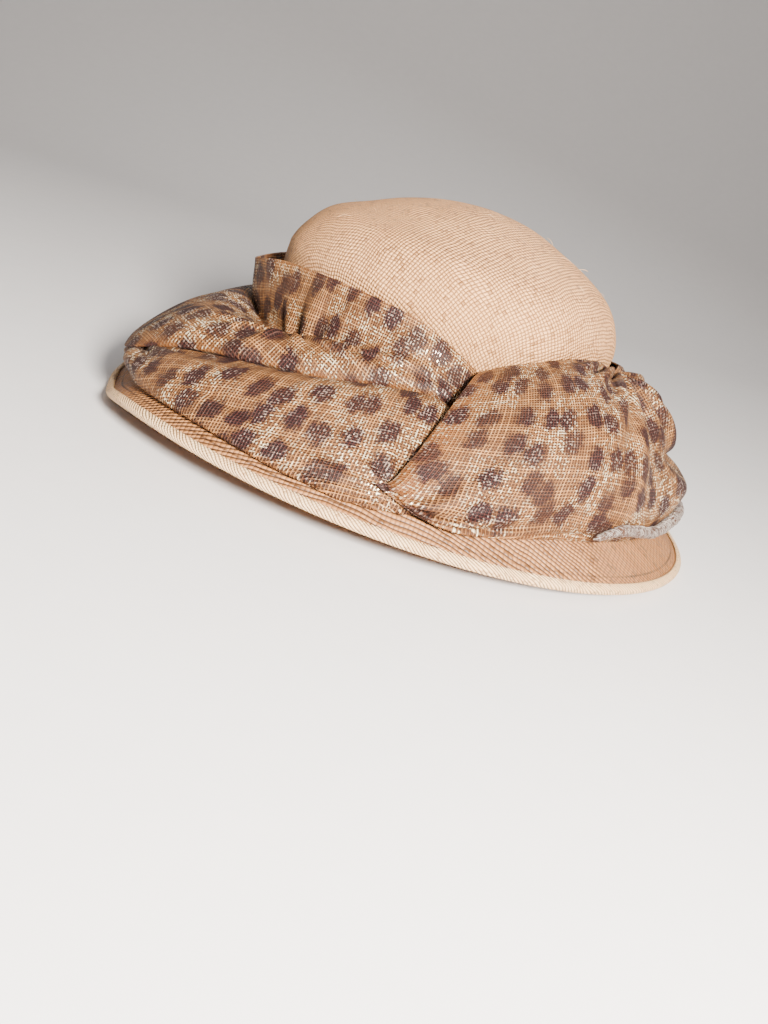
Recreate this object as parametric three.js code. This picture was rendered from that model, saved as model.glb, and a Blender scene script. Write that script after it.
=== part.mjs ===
// Sun hat: a blocked straw crown sewn to a drooping straw brim, a bound rim and a draped printed scarf.
// Millimetres, +Z up. The origin is on the floor where the hat rests, under the middle of the rim.
// The front of the hat faces -Y and the wearer's left side faces +X.
import * as THREE from 'three';

// The brim: how wide it is from the crown's foot to its edge, measured down its slope. It droops by
// an even angle all round, in degrees, but dips more at the front, within a turn to each side.
const brimWidth = 98.7;
const brimDroop = 26.2;
const frontDroop = 42.5;
const dipTurn = 26.3;
const dipSharpness = 3.4;
const brimCurl = 1.15;
const strawWall = 1.6;

// The crown. Its widest line lies above its foot, and its top is a flattened dome.
const crownLength = 199.8;
const crownWidth = 174;
const crownHeight = 98.4;
const widestHeight = 46.7;
const crownTilt = 3.3;
const footShare = 0.97;
const collarHeight = 13;

// The bias binding folded over the rim. Where the hat rests on it, it is squashed and pressed flat.
const bindingWidth = 5;
const bindingWall = 1.3;
const restSquash = 0.6;
const pressHeight = 0.45;

// The scarf's cloth and its rolled hem.
const clothWall = 1.2;
const hemRadius = 3.1;

// Clearances: between sewn pieces, and between the scarf and what it lies on.
const seamGap = 0.3;
const drapeGap = 0.3;
const edgeLift = 0.2;

// Steps round the hat and up the crown.
const roundSteps = 60;
const domeRows = 9;

// The dome's radius by its angle above the widest line, as a share of an ellipse's, at the front and back.
const domeProfile = [
  { angle: 0, front: 1.0, back: 1.0 },
  { angle: 15, front: 0.977, back: 0.986 },
  { angle: 30, front: 0.968, back: 0.982 },
  { angle: 45, front: 0.923, back: 0.965 },
  { angle: 60, front: 0.942, back: 0.967 },
  { angle: 75, front: 0.978, back: 0.999 },
  { angle: 90, front: 1.008, back: 1.008 },
];

// A scarf table has a row for each section across the cloth. Turn is degrees round from the front by the
// left side, at the upper edge and at the lower edge. Over is how far out from the crown a fold lies, as a
// share of the brim's width. Rise is how high above the brim it lies, as a share of the crown's height.

// Upper wrap: edge, breast, tuck, crest, swell, face, crease, end.
const upperWrap = [
  { upper: -152, lower: -152, over: [0.03, 0.05, 0.07, 0.11, 0.16, 0.22, 0.26, 0.24],
    rise: [0.330, 0.230, 0.140, 0.115, 0.095, 0.080, 0.060, 0.035] },
  { upper: -130, lower: -130, over: [0.05, 0.08, 0.09, 0.16, 0.26, 0.36, 0.42, 0.38],
    rise: [0.410, 0.270, 0.130, 0.180, 0.195, 0.170, 0.115, 0.060] },
  { upper: -90, lower: -90, over: [0.05, 0.08, 0.09, 0.17, 0.28, 0.40, 0.46, 0.42],
    rise: [0.380, 0.240, 0.100, 0.160, 0.190, 0.175, 0.120, 0.060] },
  { upper: -50, lower: -50, over: [0.08, 0.09, 0.08, 0.16, 0.28, 0.44, 0.52, 0.47],
    rise: [0.350, 0.200, 0.050, 0.120, 0.165, 0.160, 0.120, 0.070] },
  { upper: -24, lower: -24, over: [0.14, 0.11, 0.07, 0.16, 0.31, 0.54, 0.68, 0.62],
    rise: [0.340, 0.170, 0.030, 0.100, 0.160, 0.175, 0.145, 0.110] },
  { upper: -8, lower: -8, over: [0.18, 0.14, 0.09, 0.19, 0.38, 0.68, 0.88, 0.80],
    rise: [0.350, 0.165, 0.025, 0.130, 0.205, 0.225, 0.200, 0.170] },
  { upper: 6, lower: 6, over: [0.20, 0.15, 0.09, 0.20, 0.42, 0.76, 0.96, 0.88],
    rise: [0.375, 0.185, 0.025, 0.120, 0.255, 0.300, 0.240, 0.210] },
  { upper: 18, lower: 18, over: [0.16, 0.12, 0.08, 0.20, 0.43, 0.76, 0.96, 0.88],
    rise: [0.405, 0.200, 0.012, 0.065, 0.252, 0.315, 0.245, 0.215] },
  { upper: 28, lower: 28, over: [0.09, 0.09, 0.08, 0.20, 0.40, 0.66, 0.79, 0.73],
    rise: [0.403, 0.210, 0.022, 0.062, 0.195, 0.280, 0.200, 0.155] },
  { upper: 38, lower: 38, over: [0.06, 0.08, 0.09, 0.19, 0.35, 0.54, 0.64, 0.58],
    rise: [0.410, 0.230, 0.055, 0.092, 0.180, 0.230, 0.172, 0.115] },
  { upper: 49, lower: 49, over: [0.06, 0.08, 0.10, 0.17, 0.29, 0.43, 0.51, 0.45],
    rise: [0.425, 0.270, 0.105, 0.135, 0.195, 0.210, 0.155, 0.095] },
  { upper: 62, lower: 62, over: [0.06, 0.09, 0.12, 0.17, 0.24, 0.32, 0.375, 0.33],
    rise: [0.430, 0.310, 0.175, 0.198, 0.215, 0.197, 0.145, 0.085] },
  { upper: 75, lower: 75, over: [0.06, 0.09, 0.13, 0.17, 0.21, 0.245, 0.265, 0.24],
    rise: [0.412, 0.350, 0.290, 0.260, 0.235, 0.210, 0.168, 0.100] },
  { upper: 88, lower: 88, over: [0.05, 0.08, 0.11, 0.14, 0.17, 0.20, 0.215, 0.19],
    rise: [0.328, 0.300, 0.275, 0.250, 0.228, 0.205, 0.172, 0.100] },
  { upper: 98, lower: 98, over: [0.03, 0.05, 0.075, 0.10, 0.125, 0.145, 0.155, 0.14],
    rise: [0.235, 0.215, 0.195, 0.175, 0.155, 0.135, 0.110, 0.070] },
];

// Lower drape: lip, crest, shoulder, middle, bulge, foot, edge.
const lowerDrape = [
  { upper: -152, lower: -152, over: [0.34, 0.38, 0.44, 0.50, 0.55, 0.58, 0.57],
    rise: [0.040, 0.060, 0.065, 0.060, 0.045, 0.028, 0.024] },
  { upper: -130, lower: -130, over: [0.47, 0.51, 0.60, 0.69, 0.76, 0.79, 0.76],
    rise: [0.090, 0.130, 0.140, 0.125, 0.090, 0.045, 0.024] },
  { upper: -90, lower: -90, over: [0.50, 0.55, 0.65, 0.75, 0.83, 0.86, 0.83],
    rise: [0.090, 0.130, 0.145, 0.135, 0.095, 0.045, 0.024] },
  { upper: -50, lower: -50, over: [0.55, 0.60, 0.70, 0.79, 0.86, 0.88, 0.85],
    rise: [0.080, 0.115, 0.135, 0.130, 0.095, 0.045, 0.024] },
  { upper: -24, lower: -24, over: [0.66, 0.72, 0.80, 0.87, 0.90, 0.88, 0.84],
    rise: [0.075, 0.110, 0.135, 0.130, 0.095, 0.045, 0.024] },
  { upper: -4, lower: -4, over: [0.80, 0.87, 0.93, 0.95, 0.92, 0.87, 0.82],
    rise: [0.120, 0.150, 0.165, 0.145, 0.100, 0.045, 0.024] },
  { upper: 10, lower: 10, over: [0.82, 0.89, 0.95, 0.96, 0.93, 0.87, 0.82],
    rise: [0.140, 0.170, 0.190, 0.170, 0.115, 0.045, 0.006] },
  { upper: 21, lower: 21, over: [0.78, 0.85, 0.92, 0.955, 0.93, 0.88, 0.85],
    rise: [0.135, 0.175, 0.200, 0.185, 0.120, 0.045, 0.006] },
  { upper: 33, lower: 33, over: [0.68, 0.74, 0.83, 0.90, 0.93, 0.91, 0.87],
    rise: [0.105, 0.160, 0.185, 0.165, 0.115, 0.050, 0.006] },
  { upper: 46, lower: 46, over: [0.56, 0.60, 0.71, 0.81, 0.89, 0.91, 0.87],
    rise: [0.100, 0.160, 0.195, 0.175, 0.115, 0.045, 0.006] },
  { upper: 60, lower: 60, over: [0.42, 0.46, 0.59, 0.73, 0.86, 0.91, 0.88],
    rise: [0.095, 0.160, 0.205, 0.180, 0.115, 0.045, 0.006] },
  { upper: 75, lower: 75, over: [0.30, 0.34, 0.50, 0.67, 0.83, 0.91, 0.90],
    rise: [0.115, 0.190, 0.220, 0.190, 0.120, 0.045, 0.006] },
  { upper: 86, lower: 84, over: [0.255, 0.29, 0.44, 0.60, 0.76, 0.86, 0.86],
    rise: [0.130, 0.200, 0.220, 0.185, 0.115, 0.040, 0.006] },
  { upper: 96, lower: 94, over: [0.22, 0.26, 0.38, 0.51, 0.63, 0.73, 0.76],
    rise: [0.080, 0.110, 0.130, 0.115, 0.070, 0.025, 0.006] },
  { upper: 106, lower: 105, over: [0.20, 0.25, 0.35, 0.46, 0.57, 0.66, 0.71],
    rise: [0.030, 0.050, 0.060, 0.055, 0.035, 0.020, 0.006] },
];

// Back puff: edge, brow, shoulder, swell, belly, underside, foot, turn-in.
const backPuff = [
  { upper: 95, lower: 80, over: [0.10, 0.17, 0.28, 0.42, 0.58, 0.74, 0.87, 0.88],
    rise: [0.300, 0.295, 0.285, 0.280, 0.258, 0.215, 0.155, 0.120] },
  { upper: 102, lower: 90, over: [0.05, 0.19, 0.35, 0.51, 0.66, 0.79, 0.89, 0.88],
    rise: [0.345, 0.375, 0.365, 0.340, 0.285, 0.205, 0.090, 0.035] },
  { upper: 110, lower: 101, over: [0.05, 0.21, 0.39, 0.55, 0.68, 0.78, 0.83, 0.81],
    rise: [0.410, 0.445, 0.440, 0.405, 0.330, 0.215, 0.075, 0] },
  { upper: 121, lower: 114, over: [0.05, 0.22, 0.42, 0.58, 0.70, 0.76, 0.77, 0.74],
    rise: [0.480, 0.515, 0.510, 0.460, 0.365, 0.235, 0.080, 0] },
  { upper: 132, lower: 127, over: [0.05, 0.20, 0.39, 0.55, 0.67, 0.74, 0.755, 0.72],
    rise: [0.505, 0.530, 0.515, 0.465, 0.370, 0.250, 0.095, 0] },
  { upper: 140, lower: 137, over: [0.08, 0.18, 0.33, 0.49, 0.63, 0.72, 0.755, 0.72],
    rise: [0.475, 0.495, 0.490, 0.450, 0.370, 0.275, 0.130, 0] },
  { upper: 148, lower: 147, over: [0.06, 0.18, 0.33, 0.47, 0.58, 0.71, 0.765, 0.72],
    rise: [0.440, 0.490, 0.490, 0.440, 0.365, 0.315, 0.185, 0] },
  { upper: 158, lower: 158, over: [0.04, 0.28, 0.45, 0.57, 0.59, 0.79, 0.80, 0.74],
    rise: [0.480, 0.505, 0.490, 0.415, 0.325, 0.345, 0.235, 0] },
  { upper: 171, lower: 171, over: [0.04, 0.27, 0.44, 0.55, 0.59, 0.76, 0.78, 0.73],
    rise: [0.465, 0.485, 0.460, 0.395, 0.315, 0.320, 0.205, 0] },
  { upper: 186, lower: 186, over: [0.04, 0.23, 0.39, 0.51, 0.59, 0.71, 0.75, 0.71],
    rise: [0.440, 0.440, 0.410, 0.350, 0.290, 0.260, 0.160, 0] },
  { upper: 201, lower: 201, over: [0.04, 0.19, 0.33, 0.46, 0.57, 0.67, 0.73, 0.71],
    rise: [0.410, 0.385, 0.350, 0.300, 0.250, 0.205, 0.125, 0] },
  { upper: 218, lower: 215, over: [0.07, 0.12, 0.20, 0.31, 0.44, 0.57, 0.70, 0.80],
    rise: [0.370, 0.300, 0.245, 0.215, 0.185, 0.165, 0.130, 0.040] },
];

// Rolled hem: the roll's centre line along the puff's foot, and its thickness as a share of hemRadius.
const rolledHem = [
  { turn: 121, over: 0.813, rise: 0.090, swell: 0.45 },
  { turn: 127, over: 0.813, rise: 0.135, swell: 0.9 },
  { turn: 134, over: 0.803, rise: 0.120, swell: 1.0 },
  { turn: 141, over: 0.803, rise: 0.100, swell: 1.0 },
  { turn: 149, over: 0.813, rise: 0.120, swell: 1.0 },
  { turn: 157, over: 0.833, rise: 0.165, swell: 1.05 },
  { turn: 167, over: 0.833, rise: 0.165, swell: 1.0 },
  { turn: 176, over: 0.813, rise: 0.100, swell: 0.9 },
  { turn: 184, over: 0.793, rise: 0.055, swell: 0.45 },
];

const radians = THREE.MathUtils.degToRad;

// Smooth curve through equally spaced values, at t from 0 to 1.
function through(values, t) {
  const last = values.length - 1;
  const place = Math.min(Math.max(t, 0), 1) * last;
  const i = Math.min(Math.floor(place), last - 1);
  const f = place - i;
  const start = values[i];
  const end = values[i + 1];
  const slopeIn = (end - values[Math.max(i - 1, 0)]) / (i > 0 ? 2 : 1);
  const slopeOut = (values[Math.min(i + 2, last)] - start) / (i + 2 <= last ? 2 : 1);
  const f2 = f * f;
  const f3 = f2 * f;
  return (2 * f3 - 3 * f2 + 1) * start + (f3 - 2 * f2 + f) * slopeIn
    + (3 * f2 - 2 * f3) * end + (f3 - f2) * slopeOut;
}

// The crown's wall at a turn in radians and an angle above its widest line: its outer face.
function domePoint(turn, angle) {
  const front = (1 + Math.cos(turn)) / 2;
  const towardFront = front * front * (3 - 2 * front);
  const share = angle / 90;
  const atBack = through(domeProfile.map((row) => row.back), share);
  const atFront = through(domeProfile.map((row) => row.front), share);
  const radius = THREE.MathUtils.lerp(atBack, atFront, towardFront);
  const reach = radius * Math.cos(radians(angle));
  const height = radius * Math.sin(radians(angle)) * (crownHeight - widestHeight);
  const lift = -crownTilt * reach * Math.cos(turn);
  return { reach, z: widestHeight + height + lift };
}

// How much of its widest section the crown reaches at a turn and a height.
function crownReach(turn, z) {
  const widest = domePoint(turn, 0).z;
  if (z <= widest) {
    const below = Math.min((widest - z) / widest, 1);
    return 1 - (1 - footShare) * below * below;
  }
  const steps = 45;
  let lower = domePoint(turn, 0);
  for (let i = 1; i <= steps; i += 1) {
    const upper = domePoint(turn, (90 * i) / steps);
    if (upper.z >= z) {
      return THREE.MathUtils.mapLinear(z, lower.z, upper.z, lower.reach, upper.reach);
    }
    lower = upper;
  }
  return 0;
}

// A point of the crown's outer face by turn and reach, pushed out sideways by some millimetres.
function crownSide(turn, reach, push, z) {
  const x = (crownWidth / 2 * reach + push) * Math.sin(turn);
  const y = -(crownLength / 2 * reach + push) * Math.cos(turn);
  return new THREE.Vector3(x, y, z);
}

// The brim's droop at a turn, both in radians.
function droopAt(turn) {
  const fromFront = THREE.MathUtils.radToDeg(Math.acos(Math.cos(turn)));
  const dip = 1 / (1 + (fromFront / dipTurn) ** dipSharpness);
  return radians(THREE.MathUtils.lerp(brimDroop, frontDroop, dip));
}

// A point of the brim's middle surface, from the crown's foot (share 0) to the rim (share 1).
function brimPoint(turn, share) {
  const droop = droopAt(turn);
  const fall = brimWidth * Math.sin(droop) * share ** brimCurl;
  return crownSide(turn, footShare, brimWidth * Math.cos(droop) * share, -fall);
}

// The brim's slope at a share of its width, as an angle below level.
function brimSlope(turn, share) {
  return Math.atan(Math.tan(droopAt(turn)) * brimCurl * share ** (brimCurl - 1));
}

// A point of the scarf: out from the crown by a share of the brim's width, and up from the brim.
function drapePoint(turn, over, rise) {
  const clear = drapeGap + clothWall / 2;
  const lift = (strawWall / 2 + drapeGap) / Math.cos(brimSlope(turn, over));
  const brim = brimPoint(turn, over);
  const z = brim.z + lift + Math.max(rise * crownHeight, edgeLift);
  const foot = crownSide(turn, footShare, 0, 0);
  const wall = crownSide(turn, crownReach(turn, z), clear, z);
  return new THREE.Vector3(wall.x + brim.x - foot.x, wall.y + brim.y - foot.y, z);
}

// The hat tips back until its rim touches the floor at the front and the back, and is set over the origin.
const rimFront = brimPoint(0, 1);
const rimBack = brimPoint(Math.PI, 1);
const tipAngle = Math.atan2(rimBack.z - rimFront.z, rimBack.y - rimFront.y);
const bindingNose = seamGap + bindingWall;
const bindingReach = strawWall / 2 + bindingNose;

function tip(point) {
  return point.clone().applyAxisAngle(new THREE.Vector3(1, 0, 0), -tipAngle);
}

const middle = tip(rimFront).add(tip(rimBack)).multiplyScalar(0.5);
const restHeight = bindingReach - restSquash;

function settle(point) {
  const placed = tip(point).sub(middle);
  const z = placed.z + restHeight;
  return placed.setZ(z < pressHeight ? 0 : z);
}

// Signed volume of an indexed mesh, positive when its faces point outward.
function signedVolume(points, faces) {
  let sum = 0;
  faces.forEach(([a, b, c]) => {
    sum += points[a].dot(new THREE.Vector3().crossVectors(points[b], points[c]));
  });
  return sum / 6;
}

function closedGeometry(untippedPoints, faces) {
  const points = untippedPoints.map(settle);
  const outward = signedVolume(points, faces) > 0;
  const index = faces.flatMap(([a, b, c]) => (outward ? [a, b, c] : [a, c, b]));
  const geometry = new THREE.BufferGeometry();
  geometry.setAttribute('position', new THREE.Float32BufferAttribute(points.flatMap((p) => p.toArray()), 3));
  geometry.setIndex(index);
  geometry.computeVertexNormals();
  return geometry;
}

// Two triangles for the four-sided cell a, b, c, d.
function cell(faces, a, b, c, d) {
  faces.push([a, b, c], [a, c, d]);
}

// A wall of even thickness about a grid of middle points. The grid may close on itself round the hat.
function wallGeometry(grid, thickness, closesRound) {
  const rows = grid.length;
  const columns = grid[0].length;
  const rowAt = (i) => (closesRound ? (i + rows) % rows : Math.min(Math.max(i, 0), rows - 1));
  const points = [];
  [thickness / 2, -thickness / 2].forEach((offset) => {
    grid.forEach((row, i) => row.forEach((point, j) => {
      const along = grid[rowAt(i + 1)][j].clone().sub(grid[rowAt(i - 1)][j]);
      const across = row[Math.min(j + 1, columns - 1)].clone().sub(row[Math.max(j - 1, 0)]);
      const normal = new THREE.Vector3().crossVectors(along, across).normalize();
      points.push(point.clone().addScaledVector(normal, offset));
    }));
  });
  const back = rows * columns;
  const at = (i, j) => rowAt(i) * columns + j;
  const faces = [];
  const lastRow = closesRound ? rows : rows - 1;
  for (let i = 0; i < lastRow; i += 1) {
    for (let j = 0; j < columns - 1; j += 1) {
      cell(faces, at(i, j), at(i + 1, j), at(i + 1, j + 1), at(i, j + 1));
      cell(faces, back + at(i, j), back + at(i, j + 1), back + at(i + 1, j + 1), back + at(i + 1, j));
    }
    const j = columns - 1;
    cell(faces, at(i, 0), back + at(i, 0), back + at(i + 1, 0), at(i + 1, 0));
    cell(faces, at(i, j), at(i + 1, j), back + at(i + 1, j), back + at(i, j));
  }
  if (!closesRound) {
    for (let j = 0; j < columns - 1; j += 1) {
      const i = rows - 1;
      cell(faces, at(0, j), at(0, j + 1), back + at(0, j + 1), back + at(0, j));
      cell(faces, at(i, j), back + at(i, j), back + at(i, j + 1), at(i, j + 1));
    }
  }
  return closedGeometry(points, faces);
}

// A closed section carried round the hat: ring after ring of points, open or closed on itself.
function ringGeometry(rings, closesRound) {
  const sides = rings[0].length;
  const points = rings.flat();
  const faces = [];
  const last = closesRound ? rings.length : rings.length - 1;
  for (let i = 0; i < last; i += 1) {
    const next = (i + 1) % rings.length;
    for (let j = 0; j < sides; j += 1) {
      const k = (j + 1) % sides;
      cell(faces, i * sides + j, i * sides + k, next * sides + k, next * sides + j);
    }
  }
  if (!closesRound) {
    const end = (rings.length - 1) * sides;
    for (let j = 1; j < sides - 1; j += 1) {
      faces.push([0, j + 1, j], [end, end + j, end + j + 1]);
    }
  }
  return closedGeometry(points, faces);
}

// Turns round the whole hat, in radians.
const wholeTurn = Array.from({ length: roundSteps }, (_, i) => (2 * Math.PI * i) / roundSteps);

// Crown: the straw wall from its foot to the dome, closed by a point at the top.
function crownGeometry() {
  const footShares = [0, 0.35, 0.7];
  const outerProfile = (turn) => {
    const widest = domePoint(turn, 0).z;
    const foot = strawWall / 2 + seamGap;
    const wall = footShares.map((share) => {
      const z = THREE.MathUtils.lerp(foot, widest, share);
      return { reach: crownReach(turn, z), z };
    });
    const dome = Array.from({ length: domeRows }, (_, i) => domePoint(turn, (90 * i) / domeRows));
    return wall.concat(dome);
  };
  const profiles = wholeTurn.map(outerProfile);
  const rows = profiles[0].length;
  const points = [];
  profiles.forEach((profile, i) => profile.forEach(({ reach, z }) => {
    points.push(crownSide(wholeTurn[i], reach, 0, z));
  }));
  const outerTop = points.push(crownSide(0, 0, 0, domePoint(0, 90).z)) - 1;
  const innerStart = points.length;
  profiles.forEach((profile, i) => profile.forEach(({ reach, z }, j) => {
    const before = profile[Math.max(j - 1, 0)];
    const after = profile[Math.min(j + 1, rows - 1)];
    const rise = after.z - before.z;
    const inward = (before.reach - after.reach) * crownWidth / 2;
    const steep = rise / Math.hypot(rise, inward);
    const drop = j === 0 ? 0 : strawWall * Math.sqrt(1 - steep * steep);
    points.push(crownSide(wholeTurn[i], reach, -strawWall * steep, z - drop));
  }));
  const innerTop = points.push(crownSide(0, 0, 0, domePoint(0, 90).z - strawWall)) - 1;
  const faces = [];
  for (let i = 0; i < roundSteps; i += 1) {
    const here = i * rows;
    const next = ((i + 1) % roundSteps) * rows;
    for (let j = 0; j < rows - 1; j += 1) {
      cell(faces, here + j, next + j, next + j + 1, here + j + 1);
      cell(faces, innerStart + here + j, innerStart + here + j + 1, innerStart + next + j + 1, innerStart + next + j);
    }
    faces.push([here + rows - 1, next + rows - 1, outerTop]);
    faces.push([innerStart + next + rows - 1, innerStart + here + rows - 1, innerTop]);
    cell(faces, next, here, innerStart + here, innerStart + next);
  }
  return closedGeometry(points, faces);
}

// Brim: a collar that stands inside the crown's foot, then the slope down to the rim.
function brimGeometry() {
  const collarInset = strawWall + seamGap + strawWall / 2;
  const collarShares = [1, 0.45, 0];
  const slopeShares = [0, 0.12, 0.28, 0.45, 0.6, 0.75, 0.88, 1];
  const grid = wholeTurn.map((turn) => {
    const collar = collarShares.map((share) => {
      const z = share * collarHeight;
      return crownSide(turn, crownReach(turn, z), -collarInset, z);
    });
    const slope = slopeShares.map((share) => brimPoint(turn, share));
    return collar.concat(slope);
  });
  return wallGeometry(grid, strawWall, true);
}

// Binding: a folded strip whose two legs clasp the rim. The floor flattens it where the hat rests.
function bindingGeometry() {
  const half = strawWall / 2 + seamGap;
  const leg = bindingNose - bindingWidth;
  const bend = -bindingWall;
  const rings = wholeTurn.map((turn) => {
    const rim = brimPoint(turn, 1);
    const inner = brimPoint(turn, 0);
    const slope = brimSlope(turn, 1);
    const outward = new THREE.Vector3(rim.x - inner.x, rim.y - inner.y, 0).normalize();
    const place = (out, up) => {
      const along = out * Math.cos(slope) + up * Math.sin(slope);
      const z = rim.z - out * Math.sin(slope) + up * Math.cos(slope);
      return rim.clone().addScaledVector(outward, along).setZ(z);
    };
    return [
      place(leg, half), place(leg, bindingReach), place(leg / 2, bindingReach), place(0, bindingReach),
      place(bindingNose, half), place(bindingNose, -half), place(0, -bindingReach),
      place(bend, -bindingReach), place(leg, -bindingReach),
      place(leg, -half), place(seamGap, -half), place(seamGap, half),
    ];
  });
  return ringGeometry(rings, true);
}

// A cloth wall through a scarf table, with so many steps along the cloth and across it.
function scarfGeometry(table, alongSteps, acrossSteps) {
  const folds = table[0].over.length;
  const grid = [];
  for (let i = 0; i <= alongSteps; i += 1) {
    const t = i / alongSteps;
    const column = (name, fold) => through(table.map((row) => row[name][fold]), t);
    const over = Array.from({ length: folds }, (_, fold) => column('over', fold));
    const rise = Array.from({ length: folds }, (_, fold) => column('rise', fold));
    const upper = through(table.map((row) => row.upper), t);
    const lower = through(table.map((row) => row.lower), t);
    grid.push(Array.from({ length: acrossSteps + 1 }, (_, j) => {
      const s = j / acrossSteps;
      const turn = radians(THREE.MathUtils.lerp(upper, lower, s));
      return drapePoint(turn, through(over, s), through(rise, s));
    }));
  }
  return wallGeometry(grid, clothWall, false);
}

// Rolled hem: a round roll that thins towards its ends.
function hemGeometry() {
  const alongSteps = 18;
  const sides = 8;
  const line = Array.from({ length: alongSteps + 1 }, (_, i) => {
    const t = i / alongSteps;
    const value = (name) => through(rolledHem.map((row) => row[name]), t);
    const radius = hemRadius * value('swell');
    const centre = drapePoint(radians(value('turn')), value('over'), value('rise'));
    centre.z += radius - clothWall / 2;
    return { centre, radius };
  });
  const rings = line.map(({ centre, radius }, i) => {
    const before = line[Math.max(i - 1, 0)].centre;
    const after = line[Math.min(i + 1, alongSteps)].centre;
    const along = after.clone().sub(before).normalize();
    const side = new THREE.Vector3().crossVectors(along, new THREE.Vector3(0, 0, 1)).normalize();
    const up = new THREE.Vector3().crossVectors(side, along);
    return Array.from({ length: sides }, (_, j) => {
      const angle = (2 * Math.PI * j) / sides;
      return centre.clone().addScaledVector(side, radius * Math.cos(angle))
        .addScaledVector(up, radius * Math.sin(angle));
    });
  });
  return ringGeometry(rings, false);
}

const crownStraw = new THREE.MeshStandardMaterial({ color: 0xe3c9a3, roughness: 0.75, metalness: 0 });
const brimStraw = new THREE.MeshStandardMaterial({ color: 0xcda678, roughness: 0.78, metalness: 0 });
const bindingStraw = new THREE.MeshStandardMaterial({ color: 0xe6cfa6, roughness: 0.7, metalness: 0 });
const printedCloth = new THREE.MeshStandardMaterial({ color: 0x9a7050, roughness: 0.5, metalness: 0.1 });
const silveryCloth = new THREE.MeshStandardMaterial({ color: 0xb7a698, roughness: 0.4, metalness: 0.2 });

function piece(name, geometry, material) {
  const mesh = new THREE.Mesh(geometry, material);
  mesh.name = name;
  return mesh;
}

const strawBody = new THREE.Group();
strawBody.add(
  piece('crown', crownGeometry(), crownStraw),
  piece('brim', brimGeometry(), brimStraw),
  piece('rim_binding', bindingGeometry(), bindingStraw),
);

const scarf = new THREE.Group();
scarf.add(
  piece('scarf_upper_wrap', scarfGeometry(upperWrap, 44, 12), printedCloth),
  piece('scarf_lower_drape', scarfGeometry(lowerDrape, 22, 9), printedCloth),
  piece('scarf_back_puff', scarfGeometry(backPuff, 30, 11), printedCloth),
  piece('scarf_rolled_hem', hemGeometry(), silveryCloth),
);

const hat = new THREE.Group();
hat.add(strawBody, scarf);

export default hat;
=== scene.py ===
# Sun hat: a blocked straw crown on a drooping straw brim, a bias-bound rim and a draped spotted scarf.
# The front of the hat faces -Y and the wearer's left side faces +X. It rests on its rim.
# Sizes of the hat are in millimetres and angles in degrees. settle() takes its points to metres.
import math

import bmesh
import bpy
import numpy as np
from mathutils import Matrix, Vector


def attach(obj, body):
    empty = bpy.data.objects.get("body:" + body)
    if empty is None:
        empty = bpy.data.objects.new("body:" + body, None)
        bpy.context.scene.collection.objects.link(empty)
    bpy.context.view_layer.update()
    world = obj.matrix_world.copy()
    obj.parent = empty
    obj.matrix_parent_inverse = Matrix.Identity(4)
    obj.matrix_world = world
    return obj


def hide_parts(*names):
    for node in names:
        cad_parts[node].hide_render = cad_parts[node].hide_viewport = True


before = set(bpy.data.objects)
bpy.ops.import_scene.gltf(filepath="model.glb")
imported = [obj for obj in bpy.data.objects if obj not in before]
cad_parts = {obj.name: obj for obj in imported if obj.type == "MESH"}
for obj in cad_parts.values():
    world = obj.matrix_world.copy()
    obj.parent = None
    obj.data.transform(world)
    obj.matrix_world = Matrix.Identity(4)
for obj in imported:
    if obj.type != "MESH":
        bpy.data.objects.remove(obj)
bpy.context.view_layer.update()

# ---------------------------------------------------------------------------------------- crown
# The crown is natural straw, woven in a fine basket weave and steamed over a block into one seamless
# dome. Its foot is sewn to the brim's collar, and it swells a little unevenly above that.
CROWN_LENGTH = 199.8
CROWN_WIDTH = 174.0
CROWN_HEIGHT = 98.4
WIDEST_HEIGHT = 46.7
CROWN_TILT = 3.3
FOOT_SHARE = 0.97
STRAW_WALL = 1.6
DOME_SAMPLES = 46
DOME_TOP_ANGLE = 89.4
SWELL_DEPTH = 0.35
SEAM_GAP = 0.3
# The dome's radius at even angles from its widest line to its top, as a share of an ellipse's.
DOME_FRONT = [1.0, 0.977, 0.968, 0.923, 0.942, 0.978, 1.008]
DOME_BACK = [1.0, 0.986, 0.982, 0.965, 0.967, 0.999, 1.008]
BRIM_WIDTH = 98.7
BRIM_DROOP = 26.2
FRONT_DROOP = 42.5
DIP_TURN = 26.3
DIP_SHARPNESS = 3.4
BRIM_CURL = 1.15
BINDING_WALL = 1.3
REST_SQUASH = 0.6
PRESS_HEIGHT = 0.45
# One unit of a UV map is 100 mm of straw or cloth.
UV_UNIT = 100
# Colours of a straw cloth are its light straws, its tan straws and the shade between them.
CROWN_COLOURS = [(0.90, 0.475, 0.198, 1), (0.62, 0.282, 0.106, 1), (0.13, 0.048, 0.014, 1)]
HOLE_COLOUR = (0.06, 0.03, 0.015, 1)
# The colour of the painted shadow line that the binding's inner edge casts on the brim.
SHADOW_LINE_COLOUR = (0.05, 0.02, 0.008, 1)
STRAW_SWAY = 3.4


def through(values, t):
    """A smooth curve through evenly spaced values, read at t from 0 to 1."""
    v = np.asarray(values, float)
    last = len(v) - 1
    place = np.asarray(np.clip(t, 0, 1) * last)
    i = np.minimum(np.floor(place).astype(int), last - 1)
    shape = place.shape + (1,) * (v.ndim - 1)
    f = (place - i).reshape(shape)
    start, end = v[i], v[i + 1]
    slope_in = (end - v[np.maximum(i - 1, 0)]) / np.where(i > 0, 2, 1).reshape(shape)
    slope_out = (v[np.minimum(i + 2, last)] - start) / np.where(i + 2 <= last, 2, 1).reshape(shape)
    f2, f3 = f * f, f * f * f
    leaving = (2 * f3 - 3 * f2 + 1) * start + (f3 - 2 * f2 + f) * slope_in
    return leaving + (3 * f2 - 2 * f3) * end + (f3 - f2) * slope_out


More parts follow.
